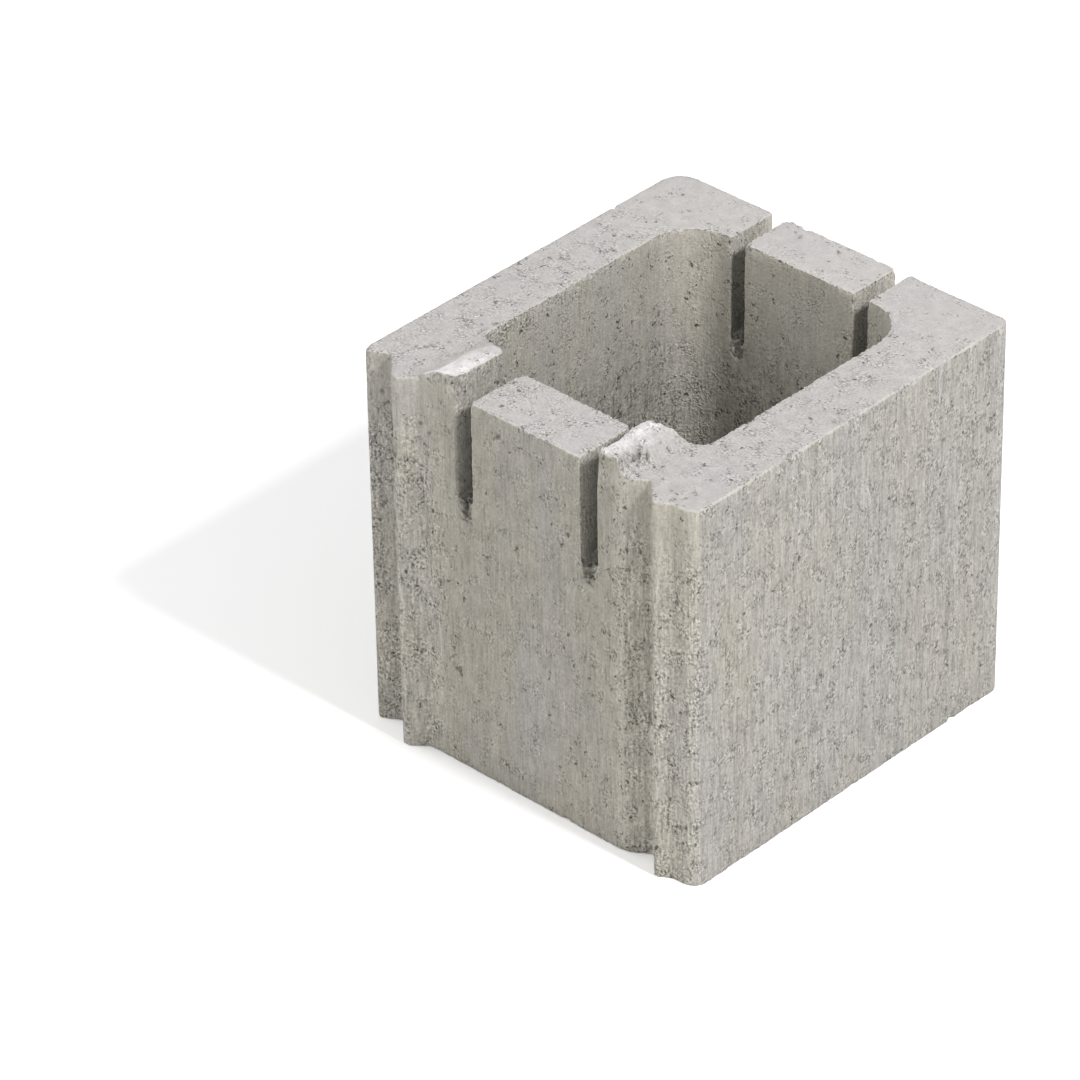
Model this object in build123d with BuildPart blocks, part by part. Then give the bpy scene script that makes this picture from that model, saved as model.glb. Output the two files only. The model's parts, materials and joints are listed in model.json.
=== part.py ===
"""Interlocking half block in dense concrete, cast as one piece.

The block stands on its bed face with the core running straight up through it.
X runs across the block from face to face, Y along the wall from the keyed end
at -Y to the plain end at +Y, and Z is up. The origin is on the bed, in the
middle of the block's overall box. Lengths are in millimetres.
"""

from build123d import *
import os

# Body
block_width = 190.0
block_length = 200.0
block_height = 190.0

# Walls, as they show on the top face
flange_thickness = 31.0
keyed_web_thickness = 32.0
plain_web_thickness = 28.0
core_draft_angle = 0.6

# Corners of the core
plain_corner_radius = 22.0
haunch_width = 17.0
haunch_length = 11.0
haunch_radius = 5.0

# Knock-out slots, two in the top of each web, with their panel in from the block's faces
panel_inset = 64.0
keyed_slot_width = 9.0
plain_slot_width = 8.0
slot_depth = 50.0
slot_mouth_radius = 1.5

# Locating lugs on the keyed web, between the slots and the flanges
lug_height = 7.5
lug_top_width = 11.5
lug_base_width = 19.0
lug_edge_radius = 2.5

# Tongue and hollow on the keyed end, in from the -X face
tongue_reach = 6.0
tongue_tip_width = 3.0
tongue_tip_inset = 24.0
tongue_root_inset = 35.0
hollow_depth = 6.0
hollow_inset = 12.5
nose_inset = 2.5
nose_setback = 0.5
nose_flank_setback = 3.0

# Groove and lip on the keyed end, in from the +X face
groove_depth = 7.0
groove_inset = 30.0
groove_start_inset = 41.0
lip_reach = 4.5
lip_inset = 19.5
lip_shoulder_inset = 12.5

# Roundings of the upright edges
key_radius = 2.0
nose_radius = 2.0
lip_corner_radius = 7.5
plain_left_radius = 12.0
plain_right_radius = 5.0

# Places that follow from the sizes above
half_width = block_width / 2
end_face_y = (tongue_reach - block_length) / 2
plain_face_y = end_face_y + block_length
lug_top = block_height + lug_height
core_half_width = half_width - flange_thickness
core_near_y = end_face_y + keyed_web_thickness
core_far_y = plain_face_y - plain_web_thickness
haunch_end_y = core_near_y + haunch_length
slot_inner_x = half_width - panel_inset
keyed_slot_outer_x = slot_inner_x + keyed_slot_width
plain_slot_outer_x = slot_inner_x + plain_slot_width
slot_floor = block_height - slot_depth
cut_margin = 5.0

# Corner points of the keyed end, from the -X face round to the +X face
nose_flank = (-half_width, end_face_y + nose_flank_setback)
nose = (nose_inset - half_width, end_face_y + nose_setback)
hollow_root = (hollow_inset - half_width, end_face_y + hollow_depth)
tongue_tip_outer = (tongue_tip_inset - half_width, end_face_y - tongue_reach)
tongue_tip_inner = (tongue_tip_inset + tongue_tip_width - half_width, end_face_y - tongue_reach)
tongue_root = (tongue_root_inset - half_width, end_face_y)
groove_start = (half_width - groove_start_inset, end_face_y)
groove_root = (half_width - groove_inset, end_face_y + groove_depth)
lip_tip = (half_width - lip_inset, end_face_y - lip_reach)
lip_shoulder = (half_width - lip_shoulder_inset, end_face_y)
lip_corner = (half_width, end_face_y)
plain_right_corner = (half_width, plain_face_y)
plain_left_corner = (-half_width, plain_face_y)

outline = [
    nose_flank,
    nose,
    hollow_root,
    tongue_tip_outer,
    tongue_tip_inner,
    tongue_root,
    groove_start,
    groove_root,
    lip_tip,
    lip_shoulder,
    lip_corner,
    plain_right_corner,
    plain_left_corner,
]

# Rounding of each outline corner that isn't sharp
rounded_corners = [
    (nose, nose_radius),
    (hollow_root, key_radius),
    (tongue_tip_outer, key_radius),
    (tongue_tip_inner, key_radius),
    (groove_root, key_radius),
    (lip_tip, key_radius),
    (lip_corner, lip_corner_radius),
    (plain_right_corner, plain_right_radius),
    (plain_left_corner, plain_left_radius),
]


def vertex_at(sketch, point):
    """The sketch's own corner at a point."""
    return sketch.vertices().sort_by_distance((point[0], point[1], 0))[0]


# Plan of the block without its core
with BuildSketch() as plan:
    with BuildLine():
        Polyline(*outline, close=True)
    make_face()
    for corner, radius in rounded_corners:
        fillet(vertex_at(plan, corner), radius)

# Plan of the core at the top face: plain corners at +Y, haunches at -Y
with BuildSketch() as core_plan:
    with BuildLine():
        Polyline(
            (-core_half_width, haunch_end_y),
            (-core_half_width + haunch_width, core_near_y),
            (core_half_width - haunch_width, core_near_y),
            (core_half_width, haunch_end_y),
            (core_half_width, core_far_y),
            (-core_half_width, core_far_y),
            close=True,
        )
    make_face()
    far_corners = core_plan.vertices().group_by(Axis.Y)[-1]
    fillet(far_corners, plain_corner_radius)
    for side in (-1, 1):
        fillet(vertex_at(core_plan, (side * core_half_width, haunch_end_y)), haunch_radius)
        fillet(vertex_at(core_plan, (side * (core_half_width - haunch_width), core_near_y)), haunch_radius)

# Lugs: one cross-section run back from the end face, held inside the block's own plan
with BuildPart() as lugs:
    add(plan.sketch)
    extrude(amount=lug_top)
    with BuildSketch(Plane.XZ) as lug_section:
        for side in (-1, 1):
            with BuildLine():
                Polyline(
                    (side * slot_inner_x, block_height - cut_margin),
                    (side * (keyed_slot_outer_x + lug_base_width), block_height - cut_margin),
                    (side * (keyed_slot_outer_x + lug_base_width), block_height),
                    (side * (keyed_slot_outer_x + lug_top_width), lug_top),
                    (side * slot_inner_x, lug_top),
                    close=True,
                )
            make_face()
            crest = (side * (keyed_slot_outer_x + lug_top_width), lug_top)
            fillet(vertex_at(lug_section, crest), lug_edge_radius)
    extrude(amount=block_length, both=True, mode=Mode.INTERSECT)
    split(bisect_by=Plane.XZ.offset(-haunch_end_y), keep=Keep.TOP)

with BuildPart() as block:
    add(plan.sketch)
    extrude(amount=block_height)
    add(lugs.part)

    # Core, wider at the top by its draft
    with BuildSketch(Plane.XY.offset(lug_top)):
        add(core_plan.sketch)
    extrude(amount=-lug_top, taper=core_draft_angle, mode=Mode.SUBTRACT)

    # Slots through both webs, leaving a knock-out panel between each pair
    for near_y, far_y, outer_x in (
        (end_face_y - tongue_reach, core_near_y, keyed_slot_outer_x),
        (core_far_y, plain_face_y, plain_slot_outer_x),
    ):
        width = outer_x - slot_inner_x
        length = far_y - near_y + 2 * cut_margin
        height = lug_top - slot_floor + cut_margin
        with BuildSketch(Plane.XY.offset(slot_floor)):
            with Locations(
                (-slot_inner_x - width / 2, (near_y + far_y) / 2),
                (slot_inner_x + width / 2, (near_y + far_y) / 2),
            ):
                Rectangle(width, length)
        extrude(amount=height, mode=Mode.SUBTRACT)

    # The flange side of each slot is rounded where it meets the outer end face
    for face_y, outer_x in ((end_face_y, keyed_slot_outer_x), (plain_face_y, plain_slot_outer_x)):
        mouths = [
            block.edges().filter_by(Axis.Z).sort_by_distance((side * outer_x, face_y, slot_floor))[0]
            for side in (-1, 1)
        ]
        fillet(mouths, slot_mouth_radius)

block.part.label = "block"

os.makedirs("parts", exist_ok=True)
export_step(block.part, "parts/block.step")
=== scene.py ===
"""The look of an interlocking concrete half block: crumbled arrises, pits, pressed top and moulded faces.

Lengths are in metres in the block's own frame. X runs across the block, Y along the wall from the
keyed end at -Y to the plain end at +Y, and Z is up from the bed.
"""

import json
import random
from math import ceil, cos, radians, sin

import bmesh
import bpy
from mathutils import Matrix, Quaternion, Vector, noise
from mathutils.kdtree import KDTree


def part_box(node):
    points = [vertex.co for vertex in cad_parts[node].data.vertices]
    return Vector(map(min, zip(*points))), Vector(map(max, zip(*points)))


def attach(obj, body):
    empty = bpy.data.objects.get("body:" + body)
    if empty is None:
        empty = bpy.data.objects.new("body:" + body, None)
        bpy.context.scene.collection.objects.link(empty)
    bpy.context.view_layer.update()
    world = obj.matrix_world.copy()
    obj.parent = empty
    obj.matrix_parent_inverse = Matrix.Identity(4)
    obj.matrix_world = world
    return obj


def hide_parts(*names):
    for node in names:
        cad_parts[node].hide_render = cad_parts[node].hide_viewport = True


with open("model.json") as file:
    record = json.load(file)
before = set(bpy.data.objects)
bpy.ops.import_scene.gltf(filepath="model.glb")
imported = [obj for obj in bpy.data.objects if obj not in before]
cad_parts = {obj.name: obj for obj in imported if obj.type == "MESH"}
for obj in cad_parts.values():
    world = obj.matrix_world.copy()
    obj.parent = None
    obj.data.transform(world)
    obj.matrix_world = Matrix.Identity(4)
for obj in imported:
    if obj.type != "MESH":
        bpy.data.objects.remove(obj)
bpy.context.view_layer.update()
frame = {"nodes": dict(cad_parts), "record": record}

MM = 0.001

# Places on the block, from its box, its mounts and the thicknesses of its walls
mounts = {mount["name"]: mount["pos_m"] for mount in frame["record"]["mounts"]}
block_low, block_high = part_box("block")
bed = block_low.z
half_width = block_high.x
level_top = mounts["top_bed_face"][2]
lug_height = block_high.z - level_top
end_face_y = mounts["keyed_end"][1]
plain_face_y = mounts["plain_end"][1]
flange_thickness = 31 * MM
keyed_web_thickness = 32 * MM
plain_web_thickness = 28 * MM
haunch_length = 11 * MM
key_depth = 9 * MM
panel_half_width = 31 * MM
keyed_slot_width = 9 * MM
plain_slot_width = 8 * MM
slot_depth = 50 * MM
lug_top_width = 11.5 * MM
lug_base_width = 19 * MM
core_half_width = half_width - flange_thickness
core_near_y = end_face_y + keyed_web_thickness
core_far_y = plain_face_y - plain_web_thickness
haunch_end_y = core_near_y + haunch_length
slot_floor = level_top - slot_depth
keyed_slot_outer = panel_half_width + keyed_slot_width
plain_slot_outer = panel_half_width + plain_slot_width

# How the cast surface is divided before it is worn: first in a grid, then more finely where relief goes
grid_step = 3.2 * MM
snap = 0.2 * MM
arris_angle = radians(32)
arris_spacing = 0.5 * MM
arris_passes = ((2.6 * MM, 1.6 * MM), (1.2 * MM, 0.9 * MM))
rim_reach = 1.0 * MM
rim_edge = 0.6 * MM
relief_margin = 1.0 * MM
coarse_relief_edge = 1.4 * MM
fine_relief_edge = 0.8 * MM
chip_reach = 3.0 * MM
trough_reach = 4.5 * MM
pit_reach = 1.5 * MM
lug_reach = 3.0 * MM

# How it is smoothed: all over the lugs, nearer and nearer to the arrises, and where the wear has folded it
full_smoothing = 0.5
light_smoothing = 0.25
lug_smooth_reach = 4.5 * MM
lug_smooth_passes = 2
arris_smooth_reaches = (1.5 * MM, 1.2 * MM, 0.9 * MM)
worn_smooth_reach = 1.2 * MM
fold_angle = radians(115)
fold_passes = 3

# How deep each kind of arris has crumbled, how many times its depth that reaches, and what its corners lose
bed_wear = 0.45 * MM
outer_wear = 0.32 * MM
rim_wear = 0.75 * MM
wear_spread = 3.2
wear_strength = 1.6
# How far from an arris its pale line reaches: rubbed wear with a painted highlight.
rub_and_highlight_reach = 2.2 * MM
corner_loss = 0.9 * MM
corner_reach = 3.5 * MM

# The rough troughs that the knock-out plates left at the bottom of the slots
trough_depth = 4.5 * MM
trough_trail = 12 * MM
trough_break = 2.2 * MM
break_reach = 4 * MM
# How far from the web faces the troughs carry their full painted shade.
trough_shade_reach = 5 * MM
crack_depth = 3.2 * MM
crack_length = 9 * MM

# How far from the slot the lugs spread, and the rounding in plan of their corners along it
lug_spread = 24 * MM
left_lug_front_radius = 8.5 * MM
right_lug_front_radius = 3.5 * MM
lug_back_radius = 3.5 * MM

# Heights that the lugs slumped to, as (distance from the slot, height) in millimetres
left_front_profile = ((0, 7.4), (4, 8.3), (10, 8.0), (19, 2.8), (22.5, 0))
left_rear_profile = ((0, 7.9), (4, 8.2), (9, 7.1), (17, 2.4), (23, 0))
right_front_profile = ((0, 7.4), (7, 8.4), (12, 8.6), (14, 3.7), (17, 0))
right_dish_profile = ((0, 5.9), (4, 5.4), (9, 3.0), (16, 0))
right_hump_profile = ((0, 8.0), (4, 8.8), (8, 8.3), (12, 6.2), (14.5, 2.6), (17, 0))

# Pits left by air and coarse grit, in clusters: radii in millimetres, and depths as shares of the radius
pit_seed = 7
cluster_count = 150
pits_in_cluster = (1, 5)
cluster_spread = 4 * MM
pit_radii = (0.6, 1.3)
pit_depths = (0.5, 1.0)
pit_raggedness = 0.3

# Chips and holes that stand alone: place on the surface and radius, in millimetres, and their steepness
chips = [
    (95, 40, 190, 2.6),
    (95, -30, 190, 1.6),
    (-69, -101, 190, 1.5),
    (-64, 12, 190, 2.2),
    (64, -28, 190, 2.0),
    (-31, -66, 190, 2.4),
    (31, -66, 190, 2.2),
    (-95, 60, 190, 2.0),
    (95, -99, 96, 1.8),
    (-95, 20, 0, 3.0),
    (95, 70, 0, 2.6),
    (20, -97, 0, 2.4),
    (-20, 103, 190, 2.4),
]
chip_steepness = 0.75
chip_raggedness = 0.35

# The finishes' numbers, in the order of the piece's materials
top_finish, face_finish, core_finish, bed_finish = range(4)
facing_up = 0.55

# Marks, grain and pores of the skin: lengths in metres, and texture scales per metre
wide_mark = {"Width": 0.0030, "Length": 0.05}
fine_mark = {"Width": 0.0011, "Length": 0.012}
sand_size = 0.0011
rough_patch_size = 0.008
large_pore_spacing = 0.0029
fine_pore_spacing = 0.0013
tint_patch_scale = 34.0
blotch_scale = 190.0
crown_white = (0.50, 0.48, 0.481, 1)


def merged_solid(node):
    """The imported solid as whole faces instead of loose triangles."""
    bm = bmesh.new()
    bm.from_mesh(node.data)
    bmesh.ops.remove_doubles(bm, verts=bm.verts[:], dist=0.01 * MM)
    bmesh.ops.dissolve_limit(bm, angle_limit=radians(0.2), verts=bm.verts[:], edges=bm.edges[:])
    return bm


def point_tree(points):
    """A tree that says how near the nearest of the points is."""
    tree = KDTree(len(points))
    for index, point in enumerate(points):
        tree.insert(point, index)
    tree.balance()
    return tree


def arris_points(bm):
    """Points along every outward arris, and the corners where three of them meet."""
    points = []
    meetings = {}
    for edge in bm.edges:
        if edge.calc_face_angle_signed(0.0) < arris_angle:
            continue
        start, end = (vert.co.copy() for vert in edge.verts)
        count = ceil((end - start).length / arris_spacing)
        points += [start.lerp(end, i / count) for i in range(count + 1)]
        for vert in edge.verts:
            meetings[vert] = meetings.get(vert, 0) + 1
    return points, [vert.co.copy() for vert, count in meetings.items() if count > 2]


def stops(*marks):
    """Even steps between marks, without the first and last."""
    places = []
    for low, high in zip(marks, marks[1:]):
        count = max(1, round((high - low) / grid_step))
        places += [low + (high - low) * i / count for i in range(count)]
    return places[1:]


def cut_into_grid(bm):
    """Cuts the faces along planes that line up with the walls, so that they can be worn."""
    across = (-half_width, -core_half_width, -keyed_slot_outer, -panel_half_width,
              panel_half_width, keyed_slot_outer, core_half_width, half_width)
    along = (block_low.y, end_face_y, core_near_y, haunch_end_y, core_far_y, plain_face_y)
    upward = (bed, slot_floor, level_top, block_high.z)
    for axis, marks in enumerate((across, along, upward)):
        normal = Vector((0, 0, 0))
        normal[axis] = 1
        for place in stops(*marks):
            geometry = bm.verts[:] + bm.edges[:] + bm.faces[:]
            bmesh.ops.bisect_plane(bm, geom=geometry, dist=snap, plane_co=normal * place, plane_no=normal)


def refine(bm, tree, reach, longest):
    """Splits the edges longer than `longest` whose middle is within `reach` of the tree's points."""
    chosen = []
    for edge in bm.edges:
        start, end = (vert.co for vert in edge.verts)
        if (end - start).length > longest and tree.find((start + end) / 2)[2] < reach:
            chosen.append(edge)
    bmesh.ops.subdivide_edges(bm, edges=chosen, cuts=1, use_grid_fill=True)


def smooth(bm, corners, factor):
    """One smoothing of some of the corners."""
    bmesh.ops.smooth_vert(bm, verts=corners, factor=factor,
                          use_axis_x=True, use_axis_y=True, use_axis_z=True)


def smooth_near(bm, tree, reach, factor):
    """One smoothing of the corners within reach of the tree's points."""
    smooth(bm, [vert for vert in bm.verts if tree.find(vert.co)[2] < reach], factor)


def noise_at(point, wavelength, shift=0.0):
    """Noise from -1 to 1 with bumps of about one wavelength; each shift gives another field of them."""
    return noise.noise(point / wavelength + Vector((shift, shift, shift)))


def smooth_step(low, high, value):
    """0 at low and 1 at high, which may be the smaller of the two, with an even curve between."""
    t = min(1.0, max(0.0, (value - low) / (high - low)))
    return t * t * (3 - 2 * t)


def in_core(place, side_margin=MM, end_margin=MM):
    """Whether a place is inside the core in plan, or within the margins of its walls."""
    return (abs(place.x) < core_half_width + side_margin
            and core_near_y - end_margin < place.y < core_far_y + end_margin)


def on_top(place, normal, depth=3 * MM):
    """Whether a place looks up and is no deeper than this below the level top."""
    return normal.z > facing_up and place.z > level_top - depth


def on_keyed_end(place):
    """Whether a place is on the keyed end, between its outermost corners."""
    return place.y < end_face_y + key_depth and abs(place.x) < half_width - MM


def is_rim(point):
    """Whether a point is on the core's rim, a slot or a lug, where the arrises crumble most."""
    in_slot = abs(point.x) < keyed_slot_outer + MM and point.z > slot_floor - MM
    on_lug = point.z > level_top + MM
    return (in_core(point) and point.z > level_top - MM) or in_slot or on_lug


def wear_at(point):
    """How deep an arris has crumbled at a point on it."""
    if point.z < bed + MM:
        return bed_wear
    if slot_floor + MM < point.z < level_top - 8 * MM:
        return outer_wear
    return rim_wear if is_rim(point) else outer_wear


def trough_places():
    """The middle and half width of each slot across the block, and the web faces that it opens through."""
    places = []
    for side in (-1, 1):
        for slot_outer, faces in ((keyed_slot_outer, (end_face_y, core_near_y)),
                                  (plain_slot_outer, (core_far_y, plain_face_y))):
            middle = side * (panel_half_width + slot_outer) / 2
            places.append((middle, (slot_outer - panel_half_width) / 2, faces))
    return places


def trough_points():
    """Points over each slot's floor and down the faces below its ends, for dividing the faces there."""
    points = []
    for middle, _, (near_y, far_y) in trough_places():
        for i in range(12):
            points.append(Vector((middle, near_y + (far_y - near_y) * i / 11, slot_floor)))
        for i in range(6):
            for face_y in (near_y, far_y):
                points.append(Vector((middle, face_y, slot_floor - trough_trail * i / 6)))
    return points


def break_slot_floors(bm):
    """Sinks a rough trough into each slot's floor, which breaks out through the web's faces below it, and
    paints shade in the trough.
    """
    pit = bm.verts.layers.float["pit"]
    places = trough_places()
    for vert in bm.verts:
        drop = slot_floor - vert.co.z
        if not -0.1 * MM < drop < trough_trail:
            continue
        for middle, half, (near_y, far_y) in places:
            across = abs(vert.co.x - middle + 0.8 * MM * noise_at(vert.co, 5 * MM, 17.0)) / half
            if across >= 1 or not near_y - MM < vert.co.y < far_y + MM:
                continue
            fade = 1 - (max(0.0, drop) / trough_trail) ** 2
            hollow = (1 - across * across) * (0.7 + 1.3 * noise_at(vert.co, 2.2 * MM, 23.0))
            painted_trough_shade = fade * (0.35 + 0.5 * hollow + 2.0 * noise_at(vert.co, 1.7 * MM, 43.0))
            from_face = min(abs(vert.co.y - near_y), abs(vert.co.y - far_y))
            breakout = max(0.0, 1 - from_face / trough_shade_reach)
            for face_y, inward in ((near_y, 1), (far_y, -1)):
                nearness = max(0.0, 1 - abs(vert.co.y - face_y) / break_reach)
                grains = 0.8 + 1.6 * noise_at(vert.co, 1.8 * MM, 29.0)
                loss = trough_break * hollow * fade * grains
                crack = max(0.0, 1 - (across / 0.45) ** 2) * smooth_step(crack_length, 2 * MM, drop)
                loss += crack_depth * crack * max(0.0, 0.8 + 1.2 * noise_at(vert.co, 2.5 * MM, 37.0))
                vert.co.y += inward * loss * nearness
            vert.co.z -= trough_depth * hollow * fade
            # Painted shade in the trough, full near the web faces and a quarter of it further into the
            # slot.
            vert[pit] = min(1.0, max(0.0, painted_trough_shade)) * (0.25 + 0.75 * breakout)


def lug_points():
    """Points over both lugs, for dividing them."""
    points = []
    for side in (-1, 1):
        for i in range(5):
            for j in range(10):
                x = side * (keyed_slot_outer + lug_base_width * i / 4)
                y = end_face_y + (core_near_y - end_face_y) * j / 9
                points.append(Vector((x, y, level_top + lug_height * 0.7)))
    return points


def cad_lug_height(across):
    """The solid's lug height at a distance from its slot."""
    slope = (lug_base_width - across) / (lug_base_width - lug_top_width)
    return lug_height * min(1.0, max(0.0, slope))


def profile(value, points):
    """The height at a value, on straight lines between (value, height) points."""
    for (low, first), (high, second) in zip(points, points[1:]):
        if value < high:
            return first + (second - first) * max(0.0, (value - low) / (high - low))
    return points[-1][1]


def left_lug_height(across, along):
    """The lug by the tongue: an even crown that sinks a little at the core, with a soft foot."""
    front = smooth_step(7, 1, along)
    height = front * profile(across, left_front_profile) + (1 - front) * profile(across, left_rear_profile)
    return height * (1 - 0.12 * smooth_step(22, 32, along))


def right_lug_height(across, along):
    """The lug by the groove: a ridge at the end face, a torn dish behind it and a hump by the core."""
    front = smooth_step(7.5, 3, along)
    back = smooth_step(14, 21, along)
    middle = max(0.0, 1 - front - back)
    height = front * profile(across, right_front_profile) + middle * profile(across, right_dish_profile)
    return height + back * profile(across, right_hump_profile)


def torn_dish(place, side, across, along):
    """How deep the right lug's dish is torn, in millimetres."""
    if side < 0:
        return 0.0
    reach = smooth_step(6, 9, across) * smooth_step(17, 13, across)
    reach *= smooth_step(8, 11, along) * smooth_step(21, 17, along)
    return reach * max(0.0, 0.7 + 2.8 * noise_at(place, 2.2 * MM, 61.0))


def round_in_plan(vert, side, across, along, way, radius):
    """Draws a corner that is still square in plan back to its rounding, less and less down the wall."""
    if across > radius or along > radius or along < -0.5 * MM:
        return
    strength = smooth_step(level_top - 14 * MM, level_top + 4 * MM, vert.co.z)
    from_middle = Vector((radius - max(0.0, across), radius - max(0.0, along)))
    reach = from_middle.length
    core = radius / 2
    if reach <= core:
        return
    widest = radius * reach / max(from_middle)
    drawn = core + (reach - core) * core / (widest - core)
    change = from_middle * (drawn / reach - 1) * strength
    vert.co.x -= side * change.x
    vert.co.y -= way * change.y


def shape_lugs(bm):
    """Gives each lug the height that it slumped to, and rounds its corners along the slot."""
    pit = bm.verts.layers.float["pit"]
    for vert in bm.verts:
        side = 1 if vert.co.x > 0 else -1
        across = abs(vert.co.x) - keyed_slot_outer
        along = vert.co.y - end_face_y
        if not (-0.5 * MM < across < lug_spread and vert.co.y < haunch_end_y + 0.5 * MM):
            continue
        if vert.co.z > level_top - 0.05 * MM:
            solid = cad_lug_height(across)
            share = 1.0 if solid < 0.3 * MM else min(1.0, (vert.co.z - level_top) / solid)
            height = (left_lug_height if side < 0 else right_lug_height)(across / MM, along / MM)
            torn = torn_dish(vert.co, side, across / MM, along / MM)
            height += 0.45 * noise_at(vert.co, 5 * MM, 31.0) * smooth_step(0, 3, height) - torn
            vert.co.z = level_top + share * max(-1.2, height) * MM
            # Painted shade in the right lug's torn dish.
            vert[pit] = max(vert[pit], min(1.0, 0.35 * torn))
        front_radius = left_lug_front_radius if side < 0 else right_lug_front_radius
        round_in_plan(vert, side, across, along, 1, front_radius)
        round_in_plan(vert, side, across, keyed_web_thickness - along, -1, lug_back_radius)


def pit_clusters(bm):
    """Pits in clusters over all faces: the place, outward normal, radius and depth of each."""
    draw = random.Random(pit_seed)
    faces = bm.faces[:]
    areas = [face.calc_area() for face in faces]
    pits = []
    for face in draw.choices(faces, weights=areas, k=cluster_count):
        centre = face.calc_center_median()
        normal = face.normal.copy()
        side = normal.orthogonal().normalized()
        other = normal.cross(side)
        for _ in range(draw.randint(*pits_in_cluster)):
            place = centre + side * draw.gauss(0, cluster_spread) + other * draw.gauss(0, cluster_spread)
            radius = draw.uniform(*pit_radii) * MM
            pits.append((place, normal, radius, radius * draw.uniform(*pit_depths)))
    return pits


def wear_arrises(bm, arrises, corners):
    """Lets crumbs and flakes fall from every arris along its length, and more at its ends."""
    closeness = bm.verts.layers.float["arris"]
    for vert in bm.verts:
        place = vert.co.copy()
        arris, _, distance = arrises.find(place)
        wear = wear_at(arris)
        near_arris = max(0.0, 1 - distance / (wear_spread * wear))
        patches = max(0.15, 0.55 + 0.9 * noise_at(place, 14 * MM))
        crumbs = max(0.0, 0.35 + noise_at(place, 2.4 * MM, 3.0) + 0.8 * noise_at(place, 1.2 * MM, 7.0))
        loss = wear * near_arris * patches * crumbs * wear_strength
        near_corner = max(0.0, 1 - corners.find(place)[2] / corner_reach)
        loss += corner_loss * near_corner * near_corner
        swell = 0.10 * MM * noise_at(place, 11 * MM, 11.0) + 0.06 * MM * noise_at(place, 4 * MM, 5.0)
        vert.co = place + vert.normal * (swell - loss)
        vert[closeness] = max(0.0, 1 - distance / rub_and_highlight_reach)


def sink_pits(bm, pits):
    """Presses each of the pits into the faces that look its way, with a ragged outline, and stores how near
    each corner is to its middle, for painted shade in the pits.
    """
    tree = point_tree([vert.co for vert in bm.verts])
    bm.verts.ensure_lookup_table()
    pit_painted_shade_layer = bm.verts.layers.float["pit"]
    for place, normal, radius, depth in pits:
        for co, index, distance in tree.find_range(place, radius * (1 + pit_raggedness)):
            vert = bm.verts[index]
            if vert.normal.dot(normal) < 0.6:
                continue
            ragged = radius * (1 + pit_raggedness * noise_at(co, 0.8 * MM, 47.0))
            share = max(0.0, 1 - (distance / ragged) ** 2)
            vert.co -= normal * depth * share
            # Painted shade in the pits, strongest at their middles.
            vert[pit_painted_shade_layer] = max(vert[pit_painted_shade_layer], share)


def knock_chips(bm):
    """Takes a shallow scoop out of the surface at each chip."""
    tree = point_tree([vert.co for vert in bm.verts])
    bm.verts.ensure_lookup_table()
    for x, y, z, radius in chips:
        centre = Vector((x, y, z)) * MM
        for co, index, distance in tree.find_range(centre, radius * MM):
            vert = bm.verts[index]
            ragged = 1 + chip_raggedness * noise_at(co, 1.2 * MM, 53.0)
            vert.co -= vert.normal * chip_steepness * (radius * MM - distance) * ragged


def relax_folds(bm):
    """Smooths the corners where the wear has folded the surface back on itself."""
    for _ in range(fold_passes):
        folded = [vert for vert in bm.verts
                  if any(edge.calc_face_angle(0.0) > fold_angle for edge in vert.link_edges)]
        smooth(bm, folded, full_smoothing)


def coarseness_at(place, normal):
    """How strongly the skin is marked: about 1, more on the ribs and low in the core, less on top."""
    if on_top(place, normal):
        calm_corner = smooth_step(60 * MM, 75 * MM, place.x) * smooth_step(-60 * MM, -85 * MM, place.y)
        return 1.0 - 0.45 * smooth_step(30 * MM, 90 * MM, place.y) - 0.6 * calm_corner
    if in_core(place):
        low_down = smooth_step(160 * MM, 90 * MM, place.z)
        under_rim = smooth_step(level_top - 16 * MM, level_top - 4 * MM, place.z)
        left_wall = smooth_step(-45 * MM, -60 * MM, place.x)
        near_half = smooth_step(40 * MM, -40 * MM, place.y)
        return 0.8 + 0.8 * low_down + under_rim * left_wall * near_half
    if on_keyed_end(place):
        rib = smooth_step(44 * MM, 60 * MM, abs(place.x))
        below_top = smooth_step(level_top - 10 * MM, level_top - 45 * MM, place.z)
        return 0.85 + 0.80 * rib * below_top
    return 1.12


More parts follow.
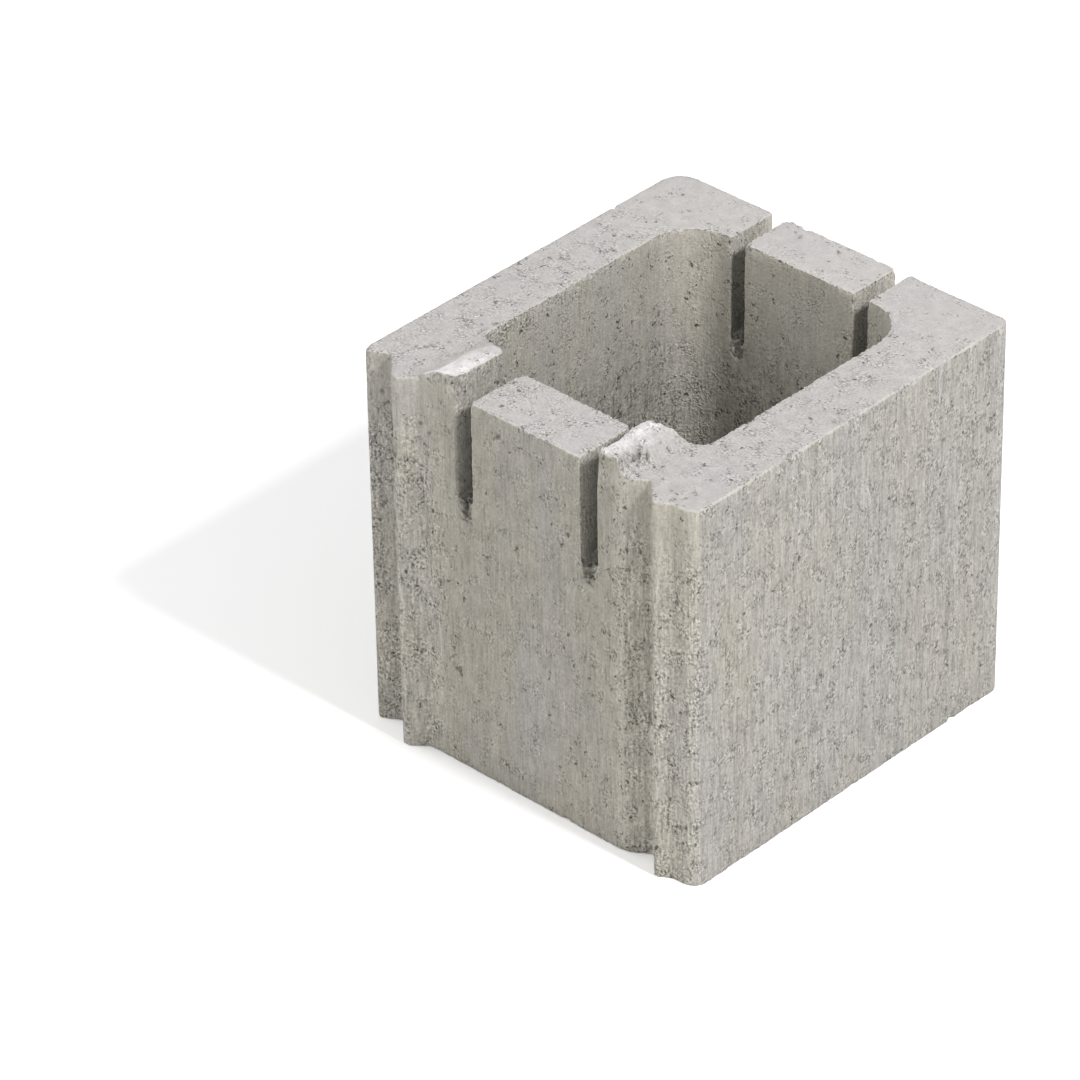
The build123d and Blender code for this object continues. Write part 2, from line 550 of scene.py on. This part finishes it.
def paleness_and_painted_light_at(place, normal):
    """How much paler than its finish the skin is at a place, as a share, and less than 0 where darker:
    partly tone and partly painted light and shade.
    """
    if on_top(place, normal):
        far_end = smooth_step(0, 80 * MM, place.y)
        right_side = smooth_step(30 * MM, 60 * MM, place.x)
        return 0.01 + 0.06 * far_end - 0.04 * right_side
    pale = 0.04 * smooth_step(level_top - 12 * MM, level_top, place.z)
    if in_core(place):
        # Painted light on the core's far wall, which faces -Y, and painted shade deeper down in the core.
        pale += 0.16 * smooth_step(-0.3, -0.8, normal.y) - 0.12 * smooth_step(160 * MM, 90 * MM, place.z)
        # A painted pool of light in the core's far corner on the -X side.
        corner = smooth_step(-38 * MM, -50 * MM, place.x) * smooth_step(50 * MM, 62 * MM, place.y)
        return pale + 0.16 * corner - 0.03
    # Painted shade on the slot walls and the lugs' slot sides at the keyed end, which face across the
    # block.
    if abs(normal.x) > 0.5 and abs(place.x) < keyed_slot_outer + MM and place.y < core_near_y:
        return pale - 0.14
    if on_keyed_end(place):
        rib = smooth_step(44 * MM, 56 * MM, abs(place.x))
        # Painted shade in the hollow beside the tongue, towards -X on the keyed end.
        return pale - 0.04 + 0.20 * rib - 0.10 * smooth_step(-74 * MM, -84 * MM, place.x)
    # Painted light low down on the outside faces.
    pale += 0.03 * smooth_step(90 * MM, 30 * MM, place.z) - 0.03
    # A painted highlight along the side faces' last 14 mm at the plain end, which also pales the plain end
    # face.
    return pale + 0.12 * smooth_step(plain_face_y - 14 * MM, plain_face_y - 2 * MM, place.y)


def crown_at(place, normal):
    """How white a lug's slumped top is, most at the end face on the left and by the slot on the right."""
    rise = place.z - level_top
    upward = smooth_step(0.25, 0.75, normal.z)
    if place.x < 0:
        return upward * smooth_step(MM, 5 * MM, rise) * smooth_step(45 * MM, 5 * MM, place.y - end_face_y)
    beside_slot = smooth_step(11 * MM, 5 * MM, place.x - keyed_slot_outer)
    return upward * smooth_step(1.5 * MM, 6 * MM, rise) * (0.33 + 0.47 * beside_slot)


def mark_skin(bm):
    """Stores how coarse and olive the skin is at each corner, and how pale it is with painted light and
    shade.
    """
    layers = bm.verts.layers.float
    coarseness, paleness, olive = layers["coarseness"], layers["paleness"], layers["olive"]
    for vert in bm.verts:
        vert[coarseness] = coarseness_at(vert.co, vert.normal)
        vert[paleness] = paleness_and_painted_light_at(vert.co, vert.normal)
        vert[olive] = 0.25 + 0.75 * smooth_step(0.3, 0.8, abs(vert.normal.y))


def mark_crowns(bm):
    """Stores how white the lugs' tops are, paints light on their slopes towards -X and calms the left lug.
    """
    layers = bm.verts.layers.float
    crown, paleness, coarseness = layers["crown"], layers["paleness"], layers["coarseness"]
    for vert in bm.verts:
        vert[crown] = crown_at(vert.co, vert.normal)
        # Painted light on the lugs' slopes that face -X, which the key leaves in shade.
        vert[paleness] += 0.25 * vert[crown] * smooth_step(0.1, 0.6, -vert.normal.x)
        if vert.co.x < 0:
            vert[coarseness] *= 1 - 0.6 * vert[crown]


def mark_finishes(bm):
    """Gives each face the number of its finish."""
    for face in bm.faces:
        middle = face.calc_center_median()
        in_slot = (panel_half_width - MM < abs(middle.x) < keyed_slot_outer + MM
                   and middle.z > slot_floor - MM
                   and end_face_y + 0.6 * MM < middle.y < plain_face_y - 0.6 * MM)
        if on_top(middle, face.normal, 2 * MM):
            face.material_index = top_finish
        elif face.normal.z < -0.7 and middle.z < bed + MM:
            face.material_index = bed_finish
        elif in_core(middle, 0.5 * MM, 3 * MM) or in_slot:
            face.material_index = core_finish
        else:
            face.material_index = face_finish


def divide_for_relief(bm, arrises, points, pits, lugs):
    """Divides the faces more finely along the arrises, and round the chips, slot floors, pits and lugs."""
    for reach, longest in arris_passes:
        refine(bm, arrises, reach, longest)
    refine(bm, point_tree([point for point in points if is_rim(point)]), rim_reach, rim_edge)
    chip_tree = point_tree([Vector(chip[:3]) * MM for chip in chips])
    pit_tree = point_tree([pit[0] for pit in pits])
    for tree, reach in ((chip_tree, chip_reach), (point_tree(trough_points()), trough_reach),
                        (pit_tree, pit_reach), (lugs, lug_reach)):
        refine(bm, tree, reach + relief_margin, coarse_relief_edge)
        refine(bm, tree, reach, fine_relief_edge)


def cast_surface():
    """The block's solid, divided finely and worn as cast and handled concrete is."""
    bm = merged_solid(frame["nodes"]["block"])
    for name in ("arris", "pit", "crown", "coarseness", "olive", "paleness"):
        bm.verts.layers.float.new(name)
    points, ends = arris_points(bm)
    arrises = point_tree(points)
    lugs = point_tree(lug_points())
    cut_into_grid(bm)
    pits = pit_clusters(bm)
    divide_for_relief(bm, arrises, points, pits, lugs)

    bm.normal_update()
    mark_skin(bm)
    shape_lugs(bm)
    for _ in range(lug_smooth_passes):
        smooth_near(bm, lugs, lug_smooth_reach, full_smoothing)
    bm.normal_update()
    mark_crowns(bm)
    break_slot_floors(bm)
    for reach in arris_smooth_reaches:
        smooth_near(bm, arrises, reach, full_smoothing)
    bm.normal_update()
    wear_arrises(bm, arrises, point_tree(ends))
    smooth_near(bm, arrises, worn_smooth_reach, light_smoothing)
    bm.normal_update()
    sink_pits(bm, pits)
    knock_chips(bm)
    relax_folds(bm)
    bm.normal_update()
    mark_finishes(bm)
    triangles = sum(len(face.verts) - 2 for face in bm.faces)
    print("cast surface", len(bm.verts), "corners", triangles, "triangles")
    return bm


def placed(name, data):
    """A new object in the scene."""
    thing = bpy.data.objects.new(name, data)
    bpy.context.scene.collection.objects.link(thing)
    return thing


def mesh_object(name, bm, materials):
    """A mesh as an object in the scene, with its materials in the order of their numbers."""
    mesh = bpy.data.meshes.new(name)
    bm.to_mesh(mesh)
    bm.free()
    for material in materials:
        mesh.materials.append(material)
    return placed(name, mesh)


def finish_piece(name, bm, materials):
    """A smooth shaded piece with its finishes."""
    for face in bm.faces:
        face.smooth = True
    return mesh_object(name, bm, materials)


def set_inputs(tree, made, inputs):
    """Gives a node's inputs their values, or links them where they are other nodes' outputs."""
    for name, value in inputs.items():
        if isinstance(value, bpy.types.NodeSocket):
            tree.links.new(value, made.inputs[name])
        else:
            made.inputs[name].default_value = value


def add_node(tree, kind, inputs=(), **settings):
    """A node with its settings, whose inputs are given as values or as other nodes' outputs."""
    made = tree.nodes.new("ShaderNode" + kind)
    for name, value in settings.items():
        setattr(made, name, value)
    set_inputs(tree, made, dict(inputs))
    return made


def maths(tree, operation, *values):
    """The result of a Math node on the values."""
    return add_node(tree, "Math", enumerate(values), operation=operation).outputs[0]


def centred(tree, value):
    """A value from 0 to 1 moved to lie round 0."""
    return maths(tree, "SUBTRACT", value, 0.5)


def ramp(tree, value, low, high, start=0.0, end=1.0):
    """A value from low to high as a smooth curve from start to end."""
    inputs = {"Value": value, "From Min": low, "From Max": high, "To Min": start, "To Max": end}
    return add_node(tree, "MapRange", inputs, interpolation_type="SMOOTHSTEP").outputs[0]


def scaled_place(tree, place, factors):
    """A place with each coordinate times its factor."""
    return add_node(tree, "VectorMath", {0: place, 1: factors}, operation="MULTIPLY").outputs[0]


def noise_texture(tree, place, scale, detail, roughness=0.5):
    """The outputs of a noise texture, the first of which is its value."""
    inputs = {"Vector": place, "Scale": scale, "Detail": detail, "Roughness": roughness}
    return add_node(tree, "TexNoise", inputs).outputs


def mix_colours(tree, share, first, second, blend="MIX"):
    """Two colours mixed by a share."""
    made = add_node(tree, "Mix", {0: share, 6: first, 7: second}, data_type="RGBA", blend_type=blend)
    return made.outputs[2]


def new_group(name, inputs, outputs):
    """A shader node group with a Vector input, named number inputs and named number outputs."""
    group = bpy.data.node_groups.new(name, "ShaderNodeTree")
    group.interface.new_socket("Vector", in_out="INPUT", socket_type="NodeSocketVector")
    for label, value in inputs.items():
        socket = group.interface.new_socket(label, in_out="INPUT", socket_type="NodeSocketFloat")
        socket.default_value = value
    for label in outputs:
        group.interface.new_socket(label, in_out="OUTPUT", socket_type="NodeSocketFloat")
    entry = group.nodes.new("NodeGroupInput").outputs
    result = group.nodes.new("NodeGroupOutput").inputs
    return group, entry, result


def pores_group():
    """Ragged holes, and crumbs between them: Spacing in metres, and Share of the places that have one."""
    group, entry, result = new_group("pores", {"Spacing": 0.0022, "Share": 0.5}, ["Pore", "Crumb"])
    scale = maths(group, "DIVIDE", 1.0, entry["Spacing"])
    wobble = noise_texture(group, entry["Vector"], maths(group, "MULTIPLY", scale, 1.7), 0.0)["Color"]
    swing = add_node(group, "VectorMath", {0: wobble, 1: (0.5, 0.5, 0.5)}, operation="SUBTRACT").outputs[0]
    reach = maths(group, "MULTIPLY", entry["Spacing"], 1.2)
    offset = add_node(group, "VectorMath", {0: swing, "Scale": reach}, operation="SCALE").outputs[0]
    place = add_node(group, "VectorMath", {0: entry["Vector"], 1: offset}, operation="ADD").outputs[0]
    cells = add_node(group, "TexVoronoi", {"Vector": place, "Scale": scale})
    chance = add_node(group, "SeparateColor", {"Color": cells.outputs["Color"]}).outputs
    size = maths(group, "MULTIPLY_ADD", chance[1], 0.32, 0.18)
    spot = ramp(group, maths(group, "DIVIDE", cells.outputs["Distance"], size), 0.3, 1.0, 1.0, 0.0)
    hollow = maths(group, "LESS_THAN", chance[0], entry["Share"])
    standing = maths(group, "GREATER_THAN", maths(group, "ADD", chance[0], entry["Share"]), 1.0)
    group.links.new(maths(group, "MULTIPLY", spot, hollow), result["Pore"])
    group.links.new(maths(group, "MULTIPLY", spot, standing), result["Crumb"])
    return group


def patches_group():
    """Rough patches between calm ones: Size in metres, and Spread from 0 for few of them upwards."""
    group, entry, result = new_group("rough_patches", {"Size": 0.008, "Spread": 0.0}, ["Rough"])
    scale = maths(group, "DIVIDE", 1.0, entry["Size"])
    patches = noise_texture(group, entry["Vector"], scale, 2.0)[0]
    lifted = maths(group, "ADD", patches, entry["Spread"])
    group.links.new(ramp(group, lifted, 0.42, 0.74), result["Rough"])
    return group


def drag_group():
    """Upright marks drawn by the mould as the block was stripped: Width and Length in metres."""
    group, entry, result = new_group("drag_marks", {"Width": 0.0012, "Length": 0.02}, ["Mark"])
    across = maths(group, "DIVIDE", 1.0, entry["Width"])
    upward = maths(group, "DIVIDE", 1.0, entry["Length"])
    scale = add_node(group, "CombineXYZ", {"X": across, "Y": across, "Z": upward}).outputs[0]
    marks = noise_texture(group, scaled_place(group, entry["Vector"], scale), 1.0, 2.0, roughness=0.6)[0]
    group.links.new(marks, result["Mark"])
    return group


def grit_group():
    """Sand in the skin of the concrete: Size in metres."""
    group, entry, result = new_group("grit", {"Size": 0.0008}, ["Grain"])
    scale = maths(group, "DIVIDE", 1.0, entry["Size"])
    grains = noise_texture(group, entry["Vector"], scale, 2.0, roughness=0.65)[0]
    group.links.new(grains, result["Grain"])
    return group


def rub_and_highlight_group():
    """A broken pale line along the arrises, rubbed wear with a painted highlight: Closeness is 1 on the
    arris and 0 away from it.
    """
    group, entry, result = new_group("rubbed_arris", {"Closeness": 0.0}, ["Rub"])
    specks = noise_texture(group, entry["Vector"], 700.0, 2.0)[0]
    runs = noise_texture(group, entry["Vector"], 90.0, 1.0)[0]
    broken = maths(group, "ADD", specks, maths(group, "MULTIPLY", runs, 0.8))
    reach = maths(group, "ADD", entry["Closeness"], maths(group, "SUBTRACT", broken, 0.9))
    group.links.new(ramp(group, reach, 0.52, 0.92), result["Rub"])
    return group


groups = {"pores": pores_group(), "patches": patches_group(), "drag": drag_group(), "grit": grit_group(),
          "arris": rub_and_highlight_group()}


def grouped(tree, name, inputs):
    """One of the shared groups placed in a material, as its outputs by name."""
    made = tree.nodes.new("ShaderNodeGroup")
    made.node_tree = groups[name]
    set_inputs(tree, made, inputs)
    return made.outputs


def attribute(tree, name):
    """A number that the cast surface carries at its corners."""
    return add_node(tree, "Attribute", attribute_name=name).outputs["Fac"]


def broken_skin(tree, place, drawn_place, coarse, pit, closeness, pore_share):
    """Rough patches, holes and crumbs, more of them where the skin is coarse, pitted or near an arris."""
    spread = maths(tree, "MULTIPLY_ADD", maths(tree, "SUBTRACT", coarse, 1.0), 0.08, 0.01)
    spread = maths(tree, "MULTIPLY_ADD", pit, 0.4, spread)
    spread = maths(tree, "MULTIPLY_ADD", closeness, 0.16, spread)
    rough = grouped(tree, "patches", {"Vector": place, "Size": rough_patch_size, "Spread": spread})["Rough"]
    share = maths(tree, "MULTIPLY", rough, pore_share)
    large = grouped(tree, "pores", {"Vector": drawn_place, "Spacing": large_pore_spacing, "Share": share})
    fine = grouped(tree, "pores", {"Vector": drawn_place, "Spacing": fine_pore_spacing, "Share": share})
    holes = maths(tree, "MAXIMUM", large["Pore"], maths(tree, "MULTIPLY", fine["Pore"], 0.8))
    crumbs = maths(tree, "MAXIMUM", large["Crumb"], fine["Crumb"])
    return rough, holes, crumbs


def tinted(tree, broad, small, olive_tint, grey_tint):
    """The two tints in patches, with more olive towards the ends, and the white of the lugs' crowns."""
    grey = maths(tree, "MULTIPLY_ADD", centred(tree, broad), 1.8, 0.8)
    grey = maths(tree, "SUBTRACT", grey, maths(tree, "MULTIPLY", attribute(tree, "olive"), 0.5))
    colour = mix_colours(tree, ramp(tree, grey, 0.0, 1.0), olive_tint, grey_tint)
    crown = maths(tree, "MULTIPLY", attribute(tree, "crown"), ramp(tree, small, 0.35, 0.6, 0.6, 1.0))
    return mix_colours(tree, crown, colour, crown_white)


def concrete(name, olive_tint, grey_tint, worn_and_highlight_tint, painted_pore_shade, pore_share, marks, grit, calm, painted_light_above):
    """A cement finish: two tints in patches, mould marks, sand, pores with painted shade in them, and a
    pale line on the arrises that is rubbed wear with a painted highlight. The stored paleness brings
    painted light and shade into the tone.

    `marks` and `grit` are the contrasts of the upright marks and of the sand, `calm` is the share of the
    sand that shows outside the rough patches, and the last argument is how much paler the finish is at the
    block's top than below, as painted shade deeper down.
    """
    material = bpy.data.materials.new(name)
    material.use_nodes = True
    tree = material.node_tree
    shader = tree.nodes["Principled BSDF"]
    place = add_node(tree, "TexCoord").outputs["Object"]
    height_on_block = add_node(tree, "SeparateXYZ", {"Vector": place}).outputs["Z"]
    coarse = attribute(tree, "coarseness")
    pit = attribute(tree, "pit")
    closeness = attribute(tree, "arris")
    tall_place = scaled_place(tree, place, (1.0, 1.0, 0.3))
    drawn_place = scaled_place(tree, place, (1.0, 1.0, 0.8))
    broad = noise_texture(tree, tall_place, tint_patch_scale, 2.0)[0]
    small = noise_texture(tree, drawn_place, blotch_scale, 2.0)[0]
    wide_marks = grouped(tree, "drag", {"Vector": place, **wide_mark})["Mark"]
    fine_marks = grouped(tree, "drag", {"Vector": place, **fine_mark})["Mark"]
    grain = grouped(tree, "grit", {"Vector": drawn_place, "Size": sand_size})["Grain"]
    rough, holes, crumbs = broken_skin(tree, place, drawn_place, coarse, pit, closeness, pore_share)

    sand = maths(tree, "MULTIPLY_ADD", rough, grit * (1.6 - calm), grit * calm)
    contrast = maths(tree, "MULTIPLY", centred(tree, grain), sand)
    drawn = maths(tree, "MULTIPLY_ADD", centred(tree, fine_marks), marks, contrast)
    drawn = maths(tree, "MULTIPLY_ADD", centred(tree, wide_marks), marks * 0.4, drawn)
    # The stored paleness brings painted light and shade into the tone.
    tone = maths(tree, "ADD", attribute(tree, "paleness"), 1.0)
    tone = maths(tree, "MULTIPLY_ADD", drawn, coarse, tone)
    tone = maths(tree, "MULTIPLY_ADD", centred(tree, small), 0.35, tone)
    # Paler towards the top: painted shade deeper down in the core and slots.
    tone = maths(tree, "MULTIPLY", tone, ramp(tree, height_on_block, 0.10, 0.185, 1.0, 1.0 + painted_light_above))
    tone_colour = add_node(tree, "CombineColor", {0: tone, 1: tone, 2: tone}).outputs[0]
    # A pale line along the arrises: rubbed wear with a painted highlight.
    rub_and_highlight = grouped(tree, "arris", {"Vector": place, "Closeness": closeness})["Rub"]
    colour = tinted(tree, broad, small, olive_tint, grey_tint)
    colour = mix_colours(tree, 1.0, colour, tone_colour, "MULTIPLY")
    # Pale crumbs, the pale arris line, and painted shade in the pores' holes and in the pits, troughs and
    # torn dish.
    for cover, strength, tint in ((crumbs, 0.5, worn_and_highlight_tint), (rub_and_highlight, 0.75, worn_and_highlight_tint),
                                  (holes, 0.85, painted_pore_shade), (pit, 0.6, painted_pore_shade)):
        colour = mix_colours(tree, maths(tree, "MULTIPLY", cover, strength), colour, tint)

    height = maths(tree, "MULTIPLY", drawn, coarse)
    for relief, strength in ((small, 0.4), (crumbs, 0.7), (holes, -1.1)):
        height = maths(tree, "MULTIPLY_ADD", relief, strength, height)
    bump = add_node(tree, "Bump", {"Height": height, "Distance": 0.5 * MM, "Strength": 0.7})
    tree.links.new(colour, shader.inputs["Base Color"])
    tree.links.new(bump.outputs[0], shader.inputs["Normal"])
    tree.links.new(ramp(tree, grain, 0.3, 0.7, 0.86, 0.97), shader.inputs["Roughness"])
    shader.inputs["Specular IOR Level"].default_value = 0.25
    return material


def pressed_top():
    """The top, struck level and pressed: pale, warm and fairly smooth, with pits in patches."""
    return concrete("pressed_top",
                    olive_tint=(0.330, 0.312, 0.298, 1), grey_tint=(0.318, 0.303, 0.299, 1),
                    worn_and_highlight_tint=(0.41, 0.397, 0.36, 1), painted_pore_shade=(0.08, 0.075, 0.07, 1),
                    pore_share=0.5, marks=0.1, grit=1.7, calm=0.4, painted_light_above=0.0)


def moulded_face():
    """The outside, drawn past the mould: olive grey with upright drag marks."""
    return concrete("moulded_face",
                    olive_tint=(0.270, 0.255, 0.217, 1), grey_tint=(0.261, 0.249, 0.235, 1),
                    worn_and_highlight_tint=(0.38, 0.365, 0.32, 1), painted_pore_shade=(0.05, 0.046, 0.04, 1),
                    pore_share=0.45, marks=0.82, grit=1.75, calm=0.48, painted_light_above=0.0)


def core_wall():
    """The walls of the core and slots: crumbly, with pits, and paler near the top as painted shade deeper
    down.
    """
    return concrete("core_wall",
                    olive_tint=(0.278, 0.263, 0.225, 1), grey_tint=(0.267, 0.254, 0.233, 1),
                    worn_and_highlight_tint=(0.38, 0.36, 0.32, 1), painted_pore_shade=(0.04, 0.037, 0.032, 1),
                    pore_share=0.5, marks=0.6, grit=1.6, calm=0.6, painted_light_above=0.20)


def bed_face():
    """The underside, flattened on the pallet."""
    return concrete("bed_face",
                    olive_tint=(0.27, 0.257, 0.23, 1), grey_tint=(0.26, 0.25, 0.235, 1),
                    worn_and_highlight_tint=(0.35, 0.335, 0.31, 1), painted_pore_shade=(0.10, 0.09, 0.08, 1),
                    pore_share=0.6, marks=0.1, grit=1.1, calm=0.5, painted_light_above=0.0)


def pale_floor():
    """A large plain floor, level with the bed."""
    bm = bmesh.new()
    bmesh.ops.create_grid(bm, x_segments=1, y_segments=1, size=4.0)
    material = bpy.data.materials.new("floor_white")
    material.use_nodes = True
    shader = material.node_tree.nodes["Principled BSDF"]
    shader.inputs["Base Color"].default_value = (0.95, 0.95, 0.95, 1)
    shader.inputs["Roughness"].default_value = 0.9
    shader.inputs["Specular IOR Level"].default_value = 0.1
    floor = mesh_object("studio_floor", bm, [material])


def direction(azimuth, elevation):
    """The way out from the block, turned from -Y towards +X by the azimuth and then raised, in degrees."""
    a, e = radians(azimuth), radians(elevation)
    return Vector((sin(a) * cos(e), -cos(a) * cos(e), sin(e)))


def looking_back(way):
    """The turn of a light or camera that looks back along a way out from the block."""
    return (-way).to_track_quat("-Z", "Y")


def soft_light(name, azimuth, elevation, distance, size, power):
    """A square area light turned to the middle of the block."""
    data = bpy.data.lights.new(name, "AREA")
    data.shape = "SQUARE"
    data.size = size
    data.energy = power
    light = placed(name, data)
    way = direction(azimuth, elevation)
    light.location = Vector((0, 0, level_top / 2)) + way * distance
    light.rotation_euler = looking_back(way).to_euler()


def studio():
    """A white room with a key square to the +X face and two large soft fills."""
    world = bpy.data.worlds.new("studio_white")
    bpy.context.scene.world = world
    world.use_nodes = True
    background = world.node_tree.nodes["Background"]
    background.inputs["Color"].default_value = (1.0, 1.0, 1.0, 1)
    background.inputs["Strength"].default_value = 0.50
    soft_light("key", azimuth=92, elevation=48.5, distance=2.2, size=0.35, power=54)
    soft_light("end_fill", azimuth=0, elevation=50, distance=2.0, size=1.4, power=12.2)
    soft_light("left_fill", azimuth=300, elevation=40, distance=2.0, size=1.4, power=16)
    bpy.context.scene.view_settings.view_transform = "Standard"


def camera():
    """The photograph's viewing angle, with a long lens and no shift."""
    data = bpy.data.cameras.new("camera")
    data.sensor_width = 36.0
    data.lens = 203.8
    view = placed("camera", data)
    way = direction(azimuth=43.80, elevation=33.84)
    roll = Quaternion((0, 0, 1), radians(-1.05))
    view.location = (1.4729, -1.6247, 1.5581)
    view.rotation_euler = (looking_back(way) @ roll).to_euler()
    bpy.context.scene.camera = view


block = finish_piece("cast_block", cast_surface(), [pressed_top(), moulded_face(), core_wall(), bed_face()])
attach(block, "root")
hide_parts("block")
pale_floor()
studio()
camera()
